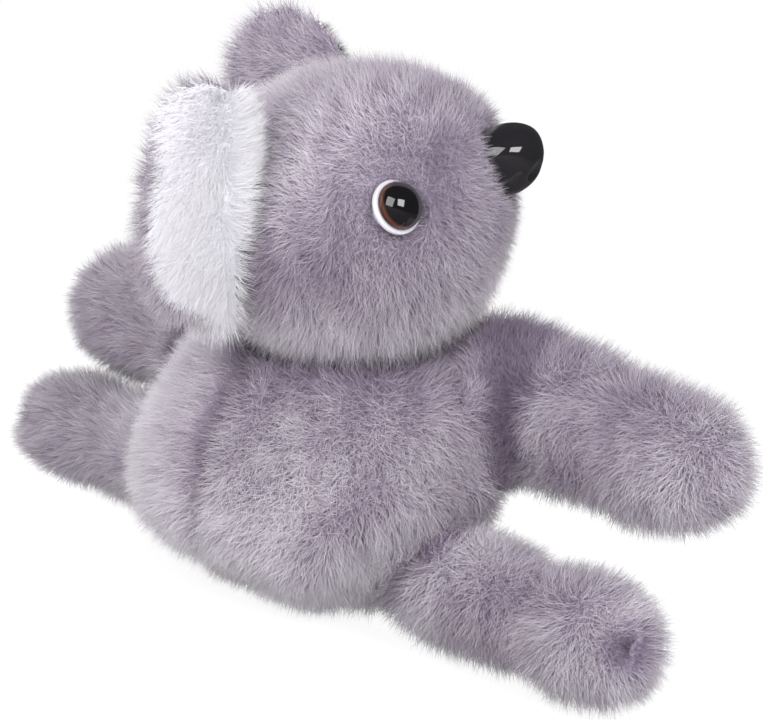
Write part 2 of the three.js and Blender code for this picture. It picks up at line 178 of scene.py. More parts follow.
# %% Floor
bpy.ops.mesh.primitive_grid_add(x_subdivisions=8, y_subdivisions=8, size=12)
floor = bpy.context.object
floor.name = "floor"
floor_paint, tree, surface = new_material("floor_white")
with_inputs(surface, {"Roughness": 1})
rays = added(tree, "LightPath")
paint = added(tree, "Mix", {"A": (0.93, 0.93, 0.93, 1), "B": (0.1, 0.097, 0.1, 1)}, data_type="RGBA")
glow = added(tree, "Emission", {"Strength": 1.09})
share = added(tree, "Math", {1: 0.85}, operation="MULTIPLY")
shown = added(tree, "MixShader")
joined(tree, (rays, "Is Glossy Ray", paint, "Factor"), (paint, "Result", surface, "Base Color"),
       (rays, "Is Camera Ray", share, 0), (share, 0, shown, "Fac"), (surface, 0, shown, 1),
       (glow, 0, shown, 2), (shown, 0, tree.nodes["Material Output"], "Surface"))
floor.data.materials.append(floor_paint)
floor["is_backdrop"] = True
print("floor:", floor.dimensions[:2])

# %% [markdown]
# ## Helpers for soft pieces
# A stuffed piece starts from the CAD panels and their filling. The copies are merged, swelled a hair so
# that they touch, and remeshed into one skin. The skin lies a pile's depth under the CAD surface, because
# the fur fills the rest.

# %% Copy and remesh
def deselect():
    if bpy.context.object and bpy.context.object.mode != "OBJECT":
        bpy.ops.object.mode_set(mode="OBJECT")
    bpy.ops.object.select_all(action="DESELECT")


def activate(obj):
    deselect()
    obj.select_set(True)
    bpy.context.view_layer.objects.active = obj


def edit_all(obj):
    """Goes to edit mode with the whole mesh selected."""
    activate(obj)
    bpy.ops.object.mode_set(mode="EDIT")
    bpy.ops.mesh.select_all(action="SELECT")


def modified(obj, kind, **settings):
    """Applies one modifier."""
    activate(obj)
    modifier = obj.modifiers.new(kind, kind)
    for name, value in settings.items():
        setattr(modifier, name, value)
    bpy.ops.object.modifier_apply(modifier=kind)


def named(made, name):
    made.name = made.data.name = name
    return made


def joined_copy(name, sources):
    """Copies of CAD solids as one mesh."""
    copies = []
    for source in sources:
        copy = nodes[source].copy()
        copy.data = nodes[source].data.copy()
        copy.parent = None
        copy.matrix_world = Matrix.Identity(4)
        for key in list(copy.keys()):
            del copy[key]
        scene.collection.objects.link(copy)
        edit_all(copy)
        bpy.ops.mesh.remove_doubles(threshold=0.01 * MM)
        bpy.ops.transform.shrink_fatten(value=0.35 * MM)
        bpy.ops.object.mode_set(mode="OBJECT")
        copies.append(copy)
    deselect()
    for copy in copies:
        copy.select_set(True)
    bpy.context.view_layer.objects.active = copies[0]
    bpy.ops.object.join()
    made = named(bpy.context.object, name)
    made.data.materials.clear()
    return made


def remeshed(obj, voxel):
    """One even skin. The shells that the remesh leaves inside are dropped."""
    activate(obj)
    obj.data.remesh_voxel_size = voxel
    bpy.ops.object.voxel_remesh()
    edit_all(obj)
    bpy.ops.mesh.separate(type="LOOSE")
    bpy.ops.object.mode_set(mode="OBJECT")
    parts = list(bpy.context.selected_objects)
    outer = max(parts, key=lambda o: o.dimensions.length)
    for part in parts:
        if part != outer:
            bpy.data.objects.remove(part)
    return named(outer, outer.name.split(".")[0])


def vectors_of(items, what):
    flat = np.empty(len(items) * 3, np.float32)
    items.foreach_get(what, flat)
    return flat.reshape(-1, 3).astype(float)


def points_of(mesh):
    return vectors_of(mesh.vertices, "co")


def normals_of(mesh):
    return vectors_of(mesh.vertex_normals, "vector")


def set_points(mesh, points):
    mesh.vertices.foreach_set("co", points.astype(np.float32).ravel())
    mesh.update()


# %% [markdown]
# ## Stuffing
# A stuffed skin is tight: filling presses it out from inside until the cloth holds. Cloth with a little
# pressure does just that, and how far a point may move is capped, so the toy keeps its size. The CAD
# shapes are already full, so here the pressure only evens the skin out, by about a tenth of a millimetre.

# %% Stuff a skin
def select_by(obj, kind, chosen):
    """Goes to edit mode with just those points or faces selected whose place passes a test."""
    activate(obj)
    bpy.ops.object.mode_set(mode="EDIT")
    bpy.ops.mesh.select_mode(type=kind)
    bpy.ops.mesh.select_all(action="DESELECT")
    bpy.ops.object.mode_set(mode="OBJECT")
    items, what = (obj.data.vertices, "co") if kind == "VERT" else (obj.data.polygons, "center")
    items.foreach_set("select", chosen(vectors_of(items, what)))
    bpy.ops.object.mode_set(mode="EDIT")


def eased(obj, where, times):
    """Smooths part of a skin, to round off a corner."""
    select_by(obj, "VERT", where)
    bpy.ops.mesh.vertices_smooth(factor=0.5, repeat=times)
    bpy.ops.object.mode_set(mode="OBJECT")


def stuffed(obj, inset, cap, pressure=3.0):
    """Smooths a skin, sinks it under the pile, presses it out from inside and makes it finer."""
    modified(obj, "SMOOTH", iterations=6)
    set_points(obj.data, points_of(obj.data) - inset * normals_of(obj.data))
    start = points_of(obj.data)
    cloth = obj.modifiers.new("stuffing", "CLOTH")
    cloth.settings.quality = 4
    cloth.settings.use_pressure = True
    cloth.settings.uniform_pressure_force = pressure
    cloth.settings.effector_weights.gravity = 0
    for moment in range(1, 21):
        scene.frame_set(moment)
    swelled = obj.evaluated_get(bpy.context.evaluated_depsgraph_get())
    move = points_of(swelled.data) - start
    far = np.linalg.norm(move, axis=1, keepdims=True)
    move *= np.minimum(1, cap / np.maximum(far, 1e-9))
    obj.modifiers.remove(cloth)
    scene.frame_set(1)
    set_points(obj.data, start + move)
    mean = float(np.linalg.norm(move, axis=1).mean()) / MM
    print(obj.name, "moved by", round(mean, 2), "mm on average")
    modified(obj, "SUBSURF", levels=1, render_levels=1)
    bpy.ops.object.shade_smooth()
    return obj


# %% [markdown]
# ## The body
# Torso and limbs are sewn to each other all round, so they share one skin. Cutting it later at the joints
# gives pieces whose edges meet. The head is a ball of its own, sewn on at the neck, so its jaw stands over
# the back with a deep fold below. The corner between an arm and a leg is smoothed.

# %% Body and head skins
SIDES = {"right": 1, "left": -1}
limb_nodes = [f"{limb}_{side}_{what}" for limb in ("arm", "paw", "leg", "foot") for side in SIDES
              for what in ("cover", "stuffing", "band")]
torso_nodes = ["torso_back_right", "torso_back_left", "torso_belly", "torso_stuffing"]
head_nodes = ["head_right", "head_left", "head_stuffing"]
body_nodes = [*torso_nodes, "arm_band_middle", "leg_band_middle", *limb_nodes]
body = remeshed(joined_copy("body", body_nodes), 2.3 * MM)
eased(body, lambda p: ((np.abs(np.abs(p[:, 0]) - 36 * MM) < 11 * MM) & (np.abs(p[:, 2] - 44 * MM) < 16 * MM)
                       & (p[:, 1] < 28 * MM)), times=30)
stuffed(body, inset=3.4 * MM, cap=1.2 * MM)
head = stuffed(remeshed(joined_copy("head", head_nodes), 2.8 * MM), inset=3.2 * MM, cap=1.2 * MM)
print("body skin:", len(body.data.polygons), "faces, head skin:", len(head.data.polygons), "faces")

# %% [markdown]
# ## Seams and creases
# Thread pulls the skin in along the arm and leg seams and down the middle of the back. The limbs also
# fold a little where the band bends. Each is a soft groove, deepest on its plane. Round dents and bumps
# give the paw, the foot and the shoulder the hang that filling gives them. The right arm's root is raised
# and the leg's top lowered.

# %% Seam planes
ARM_ROOT = (39, 20, 58), math.radians(-16.7)  # a point on the right side, in mm, and the tilt
HIP_SEAM = (35.5, 12, 18), math.radians(29)
MIDWAY = 37 * MM  # the arms are above, the legs below


def past_seam(p, seam):
    """How far a point lies outward of a tilted seam on the right side."""
    (x, _, z), tilt = seam
    return (p[:, 0] - x * MM) * math.cos(tilt) - (p[:, 2] - z * MM) * math.sin(tilt)


def bump(distance, width):
    """1 in the middle, and almost nothing twice the width away."""
    return np.exp(-((distance / width) ** 2))


def groove(distance, width, depth, where):
    return np.where(where, depth * bump(distance, width), 0.0)


def far_from(points, place):
    return np.linalg.norm(points - place, axis=1)


def step(values, low, high):
    """Rises smoothly from 0 to 1."""
    share = np.clip((values - low) / (high - low), 0, 1)
    return share * share * (3 - 2 * share)


def mirrored(p):
    """The same point on the right side."""
    return p * [0, 1, 1] + np.abs(p) * [1, 0, 0]


def past_arm_seam(p):
    """How far a point lies out beyond the seam round the right arm."""
    return p[:, 0] - 47 * MM + (p[:, 1] - 6 * MM) * 0.55 - (70 * MM - p[:, 2]) * 0.15


def past_back_seam(p):
    """How far a point lies right of the seam down the back, which leans over with the turned head."""
    return p[:, 0] + 7.5 * MM * np.clip((p[:, 2] - 14 * MM) / (58 * MM), 0, 1)


# %% Raise the arm and shorten the foot
skin = points_of(body.data)
x, _, z = skin.T
upper = step(z, 34 * MM, 46 * MM)
raised = 3.4 * MM * upper - 2.3 * MM * step(z, 14 * MM, 30 * MM) * (1 - upper)
near_root = step(x, 30 * MM, 42 * MM) * (1 - step(x, 46 * MM, 96 * MM))
shortened = 0.12 * np.clip(x - 82 * MM, 0, None)
skin[:, 2] += near_root * raised * (z < 84 * MM)
skin[:, 0] -= shortened * (skin[:, 2] < MIDWAY)
set_points(body.data, skin)
print("raised by", round(float((near_root * raised).max()) / MM, 1), "mm")

# %% Grooves, dents and bumps
right = mirrored(skin)
x, _, z = right.T
arm, leg = (z > MIDWAY) & (z < 80 * MM), z < MIDWAY
hip, arm_seam, back_seam = past_seam(right, HIP_SEAM), past_arm_seam(right), past_back_seam(skin)
whorl = np.argmin(far_from(right, np.array((100, 2.6, 18.5)) * MM))
GROOVES = (  # distance, half width and depth in mm (below 0 for a bump), where
    (arm_seam, 2.6, 0.8, arm), (hip, 3.2, 3.6, leg), (hip + 8 * MM, 5, -1.6, leg & (z > 6 * MM)),
    (x - 72 * MM, 7, 0.9, arm), (x - 70 * MM, 6, 1.5, leg),
    (back_seam, 2.6, 2.4, (skin[:, 1] < 5 * MM) & (z < 74 * MM)),
    (far_from(right, right[whorl]), 4.5, 3, leg),
)
DENTS = (  # place, half width and depth in mm, where
    ((98, 22, 73), 14, -2.4, arm), ((34, 15, 75), 9, -3.4, True), ((-30, -9, 7), 17, 3.4, z < 40 * MM),
    ((93, 12, 31), 13, 1.8, leg),
)
underside = step(-z, -17 * MM, -5 * MM) * step(-x, -68 * MM, -56 * MM)
depth = (1.6 + 1.6 * step(-x, -42 * MM, -32 * MM)) * MM * underside
depth -= groove(far_from(right, np.array((34, 2, 45)) * MM), 15 * MM, 1.8 * MM, x < 60 * MM)
for distance, width, deep, where in GROOVES:
    depth += groove(distance, width * MM, deep * MM, where)
for place, width, deep, where in DENTS:
    depth += groove(far_from(skin, np.array(place) * MM), width * MM, deep * MM, where)
set_points(body.data, skin - depth[:, None] * normals_of(body.data))
WHORL = mirrored(points_of(body.data))[whorl]
print("deepest groove:", round(float(depth.max()) / MM, 2), "mm")

# %% [markdown]
# ## Edges for the joints
# The skin is cut later where a limb leaves the torso and in a limb's stiff middle. A straight edge across
# the faces there makes each cut clean.

# %% Straight edges
ARM_MIDDLE, LEG_MIDDLE = 56 * MM, 61 * MM
NEAR = 4 * MM


def edge_across(near, point, way):
    """Splits the faces of the body skin near a plane along it."""
    select_by(body, "FACE", near)
    bpy.ops.mesh.bisect(plane_co=point, plane_no=way)
    bpy.ops.object.mode_set(mode="OBJECT")


def arm_level(p):
    return p[:, 2] > MIDWAY


def leg_level(p):
    return p[:, 2] < MIDWAY


for sign in SIDES.values():
    for at, level in ((ARM_MIDDLE, arm_level), (LEG_MIDDLE, leg_level)):
        edge_across(lambda p: (np.abs(sign * p[:, 0] - at) < NEAR) & level(p), (sign * at, 0, 0), (1, 0, 0))
    for seam, level in ((ARM_ROOT, arm_level), (HIP_SEAM, leg_level)):
        (x, _, z), tilt = seam
        edge_across(lambda p: (np.abs(past_seam(p * [sign, 1, 1], seam)) < NEAR) & level(p),
                    (sign * x * MM, 0, z * MM), (sign * math.cos(tilt), 0, -math.sin(tilt)))
print("body skin with straight edges:", len(body.data.polygons), "faces")

# %% [markdown]
# ## Head frame
# The head is turned to its right with the chin up. Eyes, nose, ears and the way the fur lies all follow
# the head, so its frame is kept: the columns are its right cheek, its nose and its crown. The chin is
# drawn in a little.

# %% Head frame
HEAD_CENTRE = Vector((4, -5.5, 93.5)) * MM
head_turn = (Matrix.Rotation(math.radians(-68.7), 3, "Z") @ Matrix.Rotation(math.radians(31.6), 3, "X")
             @ Matrix.Rotation(math.radians(22.4), 3, "Y"))
head_frame = Matrix.Translation(HEAD_CENTRE) @ head_turn.to_4x4()
CHEEK, MUZZLE, CROWN = (np.array(head_turn.col[i]) for i in range(3))


def ear_frame(side):
    sign = SIDES[side]
    forward, sweep = (-20, 50) if side == "right" else (-15.5, 76)
    turn = (Matrix.Rotation(math.radians(-sign * sweep), 4, "Z") @ Matrix.Rotation(math.radians(-18), 4, "X"))
    return head_frame @ Matrix.Translation(Vector((sign * 36.5, forward, 20.5)) * MM) @ turn


def local(points, frame_matrix):
    inverse = np.array(frame_matrix.inverted())
    return points @ inverse[:3, :3].T + inverse[:3, 3]


skin = points_of(head.data)
here = local(skin, head_frame) / MM
depth = np.zeros(len(skin))
HEAD_DENTS = ((-2, 29, -24), 14, 3.2), ((-14, 18, 29), 14, 1.8), ((-15, 36, 12.5), 10, -2.0)  # as DENTS
for place, width, deep in HEAD_DENTS:
    depth += groove(far_from(here, place), width, deep * MM, True)
set_points(head.data, skin - depth[:, None] * normals_of(head.data))
print("nose points to", np.round(MUZZLE, 2))

# %% [markdown]
# ## Ears
# Each ear is a thin cushion of its own: a grey back and a white front, sewn round the edge. The near ear
# hangs, and its back is thick where it is sewn on to the head.

# %% Ear skins
ears = {}
for side in SIDES:
    pair = [f"ear_back_{side}", f"ear_front_{side}"]
    ears[side] = stuffed(remeshed(joined_copy(f"ear_{side}", pair), 2 * MM), inset=1.6 * MM, cap=0.8 * MM)
    here = local(points_of(ears[side].data), ear_frame(side))
    if side == "right":  # narrow above, wide and longer below, thick behind where it is sewn on
        outer = np.minimum(np.clip(0.97 - 13 * here[:, 2], 0.68, 1.22), 1.22 + 42 * (here[:, 2] + 14 * MM))
        inner = np.clip(0.7 + 16 * here[:, 2], 0.25, 1)
        here[:, 0] *= np.where(here[:, 0] > 0, np.maximum(outer, 0.35), inner)
        here[:, 0] -= 0.12 * here[:, 2] + 1.7 * MM
        here[:, 2] *= np.where(here[:, 2] < 0, 1.1, 1)
        behind = step(-normals_of(ears[side].data) @ np.array(ear_frame(side).col[1])[:3], -0.1, 0.6)
        near_head = step(-here[:, 0], -3 * MM, 5 * MM) * step(-here[:, 2], -17 * MM, -5 * MM)
        here[:, 1] -= 10 * MM * behind * near_head
    else:
        here[:, 0] *= np.where(here[:, 0] > 0, 1.2, 1)
    back_again = np.array(ear_frame(side))
    set_points(ears[side].data, here @ back_again[:3, :3].T + back_again[:3, 3])
    print(ears[side].name, "skin:", len(ears[side].data.polygons), "faces")

# %% [markdown]
# ## Finishes of the plush
# A hair of this pile is dark and bluish at the root and pale at the tip, and where the pile parts the
# roots show. Each hair carries its own small map: one way says how pale this hair is, by its own tone
# and by painted shade and light, the other runs from root to tip. The backing under the pile is dark and
# woven.

# %% Plush materials
def ramp(tree, stops):
    node = added(tree, "ValToRGB")
    while len(node.color_ramp.elements) < len(stops):
        node.color_ramp.elements.new(0.5)
    for stop, (at, colour) in zip(node.color_ramp.elements, stops):
        stop.position = at
        stop.color = (*colour, 1)
    return node


def plush_material(name, stops, darker):
    """A hair's colour from root to tip, and how far a dark hair differs; the darkness comes from the hair's
    own tone and from painted shade and light.
    """
    made, tree, surface = new_material(name)
    place = added(tree, "UVMap", uv_map="OFBake")
    split = added(tree, "SeparateXYZ")
    along = ramp(tree, stops)
    shade = ramp(tree, [(0.0, darker), (1.0, (1, 1, 1))])
    toned_and_shaded = added(tree, "Mix", {"Factor": 1}, data_type="RGBA", blend_type="MULTIPLY")
    joined(tree, (place, "UV", split, "Vector"), (split, "Y", along, "Fac"), (split, "X", shade, "Fac"),
           (along, "Color", toned_and_shaded, "A"), (shade, "Color", toned_and_shaded, "B"),
           (toned_and_shaded, "Result", surface, "Base Color"))
    with_inputs(surface, {"Roughness": 0.75, "Specular IOR Level": 0.2, "Sheen Weight": 0.25,
                          "Sheen Roughness": 0.5})
    return made


grey_fur = plush_material(
    "grey_fur",
    [(0.0, (0.20, 0.165, 0.225)), (0.3, (0.40, 0.36, 0.43)), (0.65, (0.62, 0.58, 0.64)),
     (1.0, (0.80, 0.77, 0.80))],
    (0.42, 0.36, 0.45),
)
white_fur = plush_material(
    "white_fur",
    [(0.0, (0.78, 0.77, 0.84)), (0.4, (0.93, 0.92, 0.97)), (1.0, (0.98, 0.97, 1.0))],
    (0.93, 0.91, 0.93),
)


# %% Backing materials
def mottled_material(name, dark, pale, grain, stretch=(1, 1, 1), **finish):
    """Fine specks between two colours, stretched one way for a brushed look."""
    made, tree, surface = new_material(name)
    place = added(tree, "TexCoord")
    mapping = added(tree, "Mapping", {"Scale": stretch})
    specks = added(tree, "TexNoise", grain)
    mixed = added(tree, "Mix", {"A": (*dark, 1), "B": (*pale, 1)}, data_type="RGBA")
    joined(tree, (place, "Object", mapping, "Vector"), (mapping, "Vector", specks, "Vector"),
           (specks, "Fac", mixed, "Factor"), (mixed, "Result", surface, "Base Color"))
    with_inputs(surface, finish)
    return made, tree, surface, specks


def backing_material(name, dark, pale):
    made, tree, surface, weave = mottled_material(name, dark, pale, {"Scale": 900, "Detail": 3}, Roughness=1)
    ridges = added(tree, "Bump", {"Distance": 0.4 * MM})
    joined(tree, (weave, "Fac", ridges, "Height"), (ridges, "Normal", surface, "Normal"))
    return made


grey_backing = backing_material("grey_backing", (0.13, 0.10, 0.16), (0.33, 0.29, 0.36))
white_backing = backing_material("white_backing", (0.72, 0.71, 0.78), (0.85, 0.84, 0.90))
print("plush finishes:", [m.name for m in (grey_fur, white_fur, grey_backing, white_backing)])

# %% [markdown]
# ## How a hair is made
# Real fur is tens of thousands of hairs. Blender's hair can't be kept with the model, so each hair is a
# little mesh: three sides and a point at the tip, and some have a bend half way. Neighbours lean together
# in tufts, as pile does after handling. Smooth waves in space decide how the pile swirls, so the same fur
# grows on every run.

# %% Waves and directions
def unit(v):
    return v / np.maximum(np.linalg.norm(v, axis=-1, keepdims=True), 1e-12)


def waves(points, wavelength, seed):
    """Smooth noise between about -1 and 1."""
    rng = np.random.default_rng(seed)
    total = np.zeros(len(points))
    for _ in range(7):
        direction = unit(rng.normal(size=3)) * 2 * math.pi / (wavelength * rng.uniform(0.7, 1.5))
        total += np.sin(points @ direction + rng.uniform(0, 2 * math.pi))
    return total / 2.6


def turned_about(vectors, axes, angle):
    c, s = np.cos(angle)[:, None], np.sin(angle)[:, None]
    return vectors * c + np.cross(axes, vectors) * s


def on_surface(vectors, normals):
    return unit(vectors - (vectors * normals).sum(1, keepdims=True) * normals)


def swirled(flow, p, n, *swirls):
    """A flow along the surface, turned by waves: how much, how long in mm, and a seed for each."""
    turn = sum(much * waves(p, long * MM, seed) for much, long, seed in swirls)
    return turned_about(on_surface(flow, n), n, turn)


# %% Scatter roots over a skin
def triangles_of(mesh):
    mesh.calc_loop_triangles()
    corners = np.empty(len(mesh.loop_triangles) * 3, np.int32)
    mesh.loop_triangles.foreach_get("vertices", corners)
    return corners.reshape(-1, 3)


def scatter(mesh, wanted, density, rng):
    """Roots spread evenly over the wanted triangles, so many to the square millimetre, and their normals."""
    points, normals = points_of(mesh), normals_of(mesh)
    corners = triangles_of(mesh)
    corners = corners[wanted(points[corners].mean(1), unit(normals[corners].mean(1)))]
    a, b, c = (points[corners[:, i]] for i in range(3))
    area = np.linalg.norm(np.cross(b - a, c - a), axis=1)
    count = int(density * area.sum() / 2 / MM ** 2)
    chosen = corners[rng.choice(len(corners), count, p=area / area.sum())]
    u, v = rng.random((2, count, 1))
    flip = (u + v) > 1
    u, v = np.where(flip, 1 - u, u), np.where(flip, 1 - v, v)
    shares = (1 - u - v, u, v)
    place, way = (sum(values[chosen[:, i]] * shares[i] for i in range(3)) for values in (points, normals))
    return place, unit(way)


# %% Build hairs
FLOOR_CLEAR = 0.3 * MM
MAP_BESIDE, MAP_TIP = 0.012, 0.98  # a hair's sides and its tip on its map
BENT = [(0, 1, 4, 3), (1, 2, 5, 4), (2, 0, 3, 5), (3, 4, 6), (4, 5, 6), (5, 3, 6), (0, 2, 1)]
STRAIGHT = [(0, 1, 3), (1, 2, 3), (2, 0, 3), (0, 2, 1)]


def tufted(root, bend, tip, rng, tuft, gather):
    """Draws the tips of neighbours together."""
    count = len(root)
    guides = rng.choice(count, max(1, count // tuft), replace=False)
    tree = KDTree(len(guides))
    for index, guide in enumerate(guides):
        tree.insert(root[guide], index)
    tree.balance()
    nearest = guides[[tree.find(p)[1] for p in root]]
    pull = gather * rng.uniform(0.2, 1.0, (count, 1))
    tip += pull * (tip[nearest] - tip)
    bend += 0.35 * pull * (bend[nearest] - bend)
    for points in (bend, tip):
        points[:, 2] = np.maximum(points[:, 2], FLOOR_CLEAR)


def rows(*parts):
    """The points of each hair, one hair after the other."""
    return np.concatenate(parts, 1).reshape(-1, 3)


def mesh_object(name, points, light, loops, sizes, uv):
    """A mesh from its points, how each takes light, the corners and sizes of its faces, and its map."""
    mesh = bpy.data.meshes.new(name)
    mesh.vertices.add(len(points))
    mesh.vertices.foreach_set("co", points.astype(np.float32).ravel())
    mesh.loops.add(len(loops))
    mesh.loops.foreach_set("vertex_index", loops.astype(np.int32))
    mesh.polygons.add(len(sizes))
    mesh.polygons.foreach_set("loop_start", np.concatenate([[0], np.cumsum(sizes)[:-1]]).astype(np.int32))
    mesh.polygons.foreach_set("use_smooth", np.ones(len(sizes), bool))
    mesh.update(calc_edges=True)
    mesh.uv_layers.new(name="OFBake").data.foreach_set("uv", uv.astype(np.float32))
    mesh.normals_split_custom_set_from_vertices(light.astype(np.float32))
    made = bpy.data.objects.new(name, mesh)
    scene.collection.objects.link(made)
    return made


def hair_mesh(name, root, normal, comb, length, lean, tone_and_shade, reach, thickness, rng,
              tuft=8, gather=0.12, bent=0.06, even=0.55, start=0.01):
    """Hairs with a bend half way, and straight ones among them. Each hair is closed and comes to a point."""
    count = len(root)
    first, second = (unit(normal * np.cos(angle)[:, None] + comb * np.sin(angle)[:, None])
                     for angle in (lean * 0.65, lean * 1.3))
    bend = root + first * (0.5 * length)[:, None]
    tip = bend + second * (0.5 * length)[:, None]
    tufted(root, bend, tip, rng, tuft, gather)
    across = unit(np.cross(comb, normal))
    other = unit(np.cross(first, across))
    spin = rng.uniform(0, 2 * math.pi, count)
    foot, ring, out = np.empty((3, count, 3, 3))
    for corner in range(3):
        angle = spin + corner * 2 * math.pi / 3
        out[:, corner] = across * np.cos(angle)[:, None] + other * np.sin(angle)[:, None]
        foot[:, corner] = root - 0.5 * MM * normal + out[:, corner] * thickness[:, None]
        ring[:, corner] = bend + out[:, corner] * (0.75 * thickness)[:, None]
    side_light = unit(even * normal[:, None] + (1 - even) * out)
    tip_light = unit(normal + 0.4 * second)[:, None]
    # A hair's paleness on its map holds its own tone plus painted shade and light; reach ends its colours
    # short of the pale tip where painted shade falls.
    tip, tone_and_shade, reach = tip[:, None], np.clip(tone_and_shade, 0.02, 0.98)[:, None], reach[:, None]

    split = int(count * bent)
    made = []
    for faces, some, rings, along in ((BENT, slice(split), (foot, ring), (0, 0.5)),
                                      (STRAIGHT, slice(split, None), (foot,), (0,))):
        corners = np.concatenate([np.array(face) for face in faces])
        sideways = np.array([-MAP_BESIDE, 0, MAP_BESIDE] * len(rings) + [0])[corners]
        upward = np.array([*np.repeat(along, 3), MAP_TIP])[corners]
        hairs = len(tone_and_shade[some])
        before = sum(len(points) for points, *_ in made)
        made.append((
            rows(*(points[some] for points in rings), tip[some]),
            rows(*[side_light[some]] * len(rings), tip_light[some]),
            (before + np.arange(hairs)[:, None] * (3 * len(rings) + 1) + corners).ravel(),
            np.tile([len(face) for face in faces], hairs),
            np.stack([tone_and_shade[some] + sideways, start + (reach[some] - start) * upward], -1).ravel()))
    return mesh_object(name, *(np.concatenate(parts) for parts in zip(*made)))


# %% [markdown]
# ## Which way the pile lies
# On the back it lies down and away from the seam; on the limbs it runs out to the ends and swirls; on the
# head it runs back from the nose and hangs at the jaw. On the foot it lies away from a dimple.

# %% Where the eyes, the nose and the limbs are
def eye_frame(side):
    """Sunk in the pile a little above the model's backing disc, with +Z along the way the eye looks."""
    low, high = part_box(f"eye_backing_{side}")
    sign = SIDES[side]
    turn, lift = math.radians(34), math.radians(11)
    look = Vector((sign * math.sin(turn) * math.cos(lift), math.cos(turn) * math.cos(lift), math.sin(lift)))
    place = (low + high) / 2 + head_turn @ (Vector((0, 2.6, 1.8)) * MM - 2.0 * MM * look)
    return Matrix.Translation(place) @ (head_turn @ look).to_track_quat("Z", "Y").to_matrix().to_4x4()


EYE_SPOTS = {side: np.array(eye_frame(side).translation) for side in SIDES}
low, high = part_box("nose")
NOSE_SPOT = np.array((low + high) / 2)


def limb_of(points):
    """0 torso, 1 arm root, 2 arm end, 3 leg root, 4 leg end."""
    out = np.abs(points[:, 0])
    region = np.zeros(len(points), int)
    region[arm_level(points) & (past_seam(mirrored(points), ARM_ROOT) > 0)] = 1
    region[arm_level(points) & (out > ARM_MIDDLE)] = 2
    region[leg_level(points) & (past_seam(mirrored(points), HIP_SEAM) > 0)] = 3
    region[leg_level(points) & (out > LEG_MIDDLE)] = 4
    return region


def depth_in(made):
    """How far outside a skin a point lies, negative inside."""
    tree = BVHTree.FromObject(made, bpy.context.evaluated_depsgraph_get())

    def outside(points):
        found = np.empty(len(points))
        for index, point in enumerate(points):
            crossings, start = 0, Vector(point)
            while (place := tree.ray_cast(start, (0, 0, 1))[0]) is not None:
                crossings += 1
                start = place + Vector((0, 0, 0.001 * MM))
            found[index] = tree.find_nearest(point)[3] * (-1 if crossings % 2 else 1)
        return found
    return outside


outside_head, outside_body = depth_in(head), depth_in(body)
print("eyes at", {side: np.round(spot / MM, 1) for side, spot in EYE_SPOTS.items()}, "mm")


# %% Combing
def torso_comb(p, n):
    away = np.sign(p[:, :1]) * bump(p[:, :1], 13 * MM) * (p[:, 1:2] < 10 * MM)
    flow = np.array([0, 0.1, -1.0]) + away * np.array([1.1, 0, 0])
    return swirled(flow, p, n, (0.75, 26, 11), (0.45, 8, 12))


def limb_comb(p, n):
    out = np.sign(p[:, :1]) * np.array([1.0, 0, 0]) + np.array([0, 0, -0.35])
    return swirled(out, p, n, (1.15, 34, 21), (0.5, 9, 22))


def foot_comb(p, n):
    far = mirrored(p) - WHORL
    near = np.exp(-((far ** 2).sum(1, keepdims=True) / (7 * MM) ** 2))
    radial = unit(far) * np.concatenate([np.sign(p[:, :1]), np.ones((len(p), 2))], 1)
    return on_surface(limb_comb(p, n) * (1 - near) + 1.5 * radial * near, n)


def head_comb(p, n):
    rise = ((p - np.array(HEAD_CENTRE)) @ CROWN)[:, None] / (30 * MM)
    flow = -0.9 * MUZZLE - np.clip(0.55 - rise, 0, 1.2) * CROWN
    return swirled(flow, p, n, (0.7, 24, 31), (0.45, 8, 32))


# %% [markdown]
# ## Fur of the body
# The pile is about seven millimetres long, shorter on the muzzle. A hair's paleness drifts slowly over
# the body and varies from hair to hair. On top of that, painted shade darkens folds, seams and some sides,
# and painted light makes some places paler. No hair grows where the eyes and the nose sit.

# %% Painted shade and light, and length from place to place
def torso_shade(p, gap):
    """Painted shade under the jaw, along the back seam and beside the arms; painted light low down and, as a
    painted sheen, left of the seam.
    """
    back = p[:, 1] < 8 * MM
    past = past_back_seam(p)
    shade = -0.78 * bump(np.maximum(gap, 0), 10 * MM) - 0.7 * bump(past, 1.9 * MM) * back
    shade -= 0.22 * step(past_arm_seam(mirrored(p)), -15 * MM, -5 * MM) * arm_level(p)
    return shade + 0.25 * step(-past, 3 * MM, 9 * MM) * back + 0.55 * step(-p[:, 2], -36 * MM, -14 * MM)


def arm_shade(p, gap):
    """A little darker all over, with painted shade in a strip beyond the seam and on the top near it, and
    painted light on the underside.
    """
    past = past_arm_seam(mirrored(p)) + 1.5 * MM * waves(p, 9 * MM, 53)
    top = step(p[:, 2], 63 * MM, 74 * MM) * step(-past, -34 * MM, -10 * MM)
    strip = step(past, -5 * MM, 0) * step(-past, -13 * MM, -6 * MM)
    return -0.08 - 0.58 * strip - 0.3 * top * (1 - strip) + 0.22 * step(-p[:, 2], -50 * MM, -40 * MM)


def leg_shade(p, gap):
    # Paler all over, with painted shade beside the hip seam, where the torso overhangs the leg.
    return 0.13 - 0.9 * bump(past_seam(mirrored(p), HIP_SEAM) - 1 * MM, 4 * MM)


def foot_shade(p, gap):
    # A touch darker all over, with painted shade in the dimple where the pile parts.
    return -0.02 - 1.5 * bump(far_from(mirrored(p), WHORL), 2.8 * MM)


def foot_longer(p, gap):
    return 1 - 0.75 * bump(far_from(mirrored(p), WHORL), 3.2 * MM)


